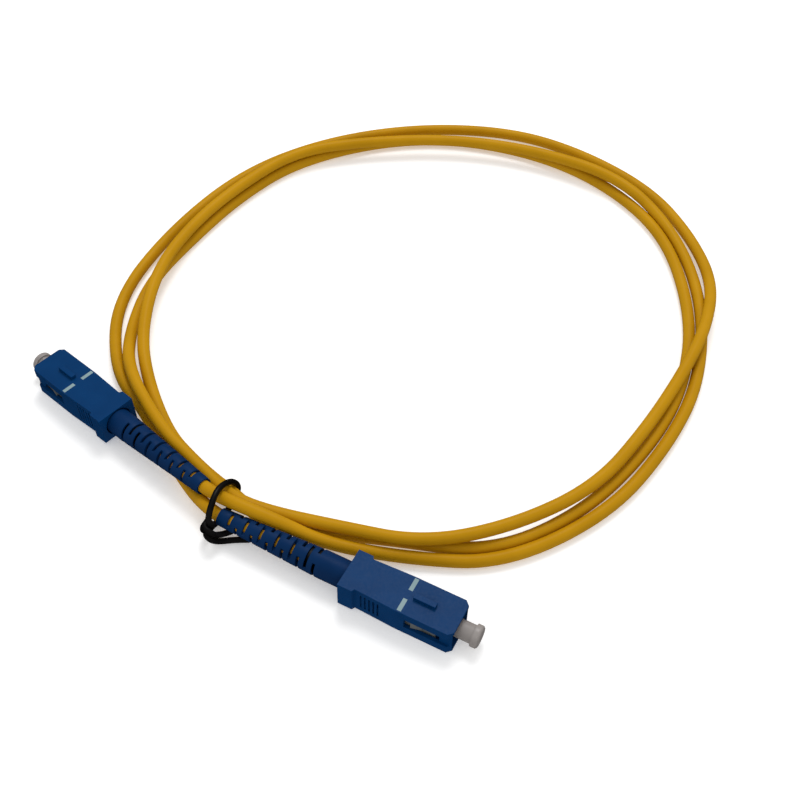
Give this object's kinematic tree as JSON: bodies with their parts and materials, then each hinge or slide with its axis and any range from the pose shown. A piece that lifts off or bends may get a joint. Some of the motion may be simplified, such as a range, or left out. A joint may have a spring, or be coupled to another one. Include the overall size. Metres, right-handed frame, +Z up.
{
  "type": "fibre optic patch cable",
  "caption": "Simplex fibre optic patch cable in a loose coil held by a twist tie, with a push-pull plug, slotted boot and dust cap on each end.",
  "frame": {"origin": "centre of the underside of the box round the plugs and the tie, on the floor that the cable lies on", "axes": "+Z up from the floor, +X along the line of the two plugs, from the plug on the left of the picture to the one on the right, +Y from the plugs towards the far side of the coil"},
  "size_m": [0.1457, 0.1642, 0.0105],
  "materials": {
    "jacket": "ochre-yellow flexible jacket, satin",
    "tie_coating": "black plastic coating on soft wire",
    "housing_plastic": "blue moulded plastic, fine satin",
    "boot_rubber": "blue flexible moulding, satin",
    "frame_plastic": "white moulded plastic",
    "ferrule_ceramic": "white zirconia, polished",
    "flange_steel": "turned metal",
    "spring_steel": "bright drawn wire",
    "stop_plastic": "pale moulded plastic",
    "crimp_metal": "plain drawn sleeve",
    "cap_plastic": "translucent off-white soft plastic",
    "fibre_buffer": "white buffer coating"
  },
  "bodies": {
    "cable_and_plugs": {"cable": "jacket", "twist_tie": "tie_coating", "plug_frame_a": "frame_plastic", "spring_a": "spring_steel", "spring_stop_a": "stop_plastic", "crimp_ring_a": "crimp_metal", "boot_a": "boot_rubber", "plug_frame_b": "frame_plastic", "spring_b": "spring_steel", "spring_stop_b": "stop_plastic", "crimp_ring_b": "crimp_metal", "boot_b": "boot_rubber"},
    "housing_a": {"grip_housing_a": "housing_plastic"},
    "ferrule_assembly_a": {"ferrule_a": "ferrule_ceramic", "ferrule_flange_a": "flange_steel", "buffered_fibre_a": "fibre_buffer"},
    "cap_a": {"dust_cap_a": "cap_plastic"},
    "housing_b": {"grip_housing_b": "housing_plastic"},
    "ferrule_assembly_b": {"ferrule_b": "ferrule_ceramic", "ferrule_flange_b": "flange_steel", "buffered_fibre_b": "fibre_buffer"},
    "cap_b": {"dust_cap_b": "cap_plastic"}
  },
  "joints": [
    {"name": "housing_a_slide", "type": "slide", "parent": "cable_and_plugs", "child": "housing_a", "axis": [-0.9905, 0.1278, -0.0506], "range_m": [0, 0.002]},
    {"name": "ferrule_a_slide", "type": "slide", "parent": "cable_and_plugs", "child": "ferrule_assembly_a", "axis": [-0.9905, 0.1278, -0.0506], "range_m": [-0.0009, 0], "stiffness_N_per_m": 1000, "deforming": ["spring_a"]},
    {"name": "cap_a_slide", "type": "slide", "parent": "ferrule_assembly_a", "child": "cap_a", "axis": [-0.9905, 0.1278, -0.0506], "range_m": [-0.0012, 0.0148]},
    {"name": "housing_b_slide", "type": "slide", "parent": "cable_and_plugs", "child": "housing_b", "axis": [0.9916, 0.127, -0.0244], "range_m": [-0.002, 0]},
    {"name": "ferrule_b_slide", "type": "slide", "parent": "cable_and_plugs", "child": "ferrule_assembly_b", "axis": [0.9916, 0.127, -0.0244], "range_m": [-0.0009, 0], "stiffness_N_per_m": 1000, "deforming": ["spring_b"]},
    {"name": "cap_b_slide", "type": "slide", "parent": "ferrule_assembly_b", "child": "cap_b", "axis": [0.9916, 0.127, -0.0244], "range_m": [-0.0039, 0.0121]}
  ]
}
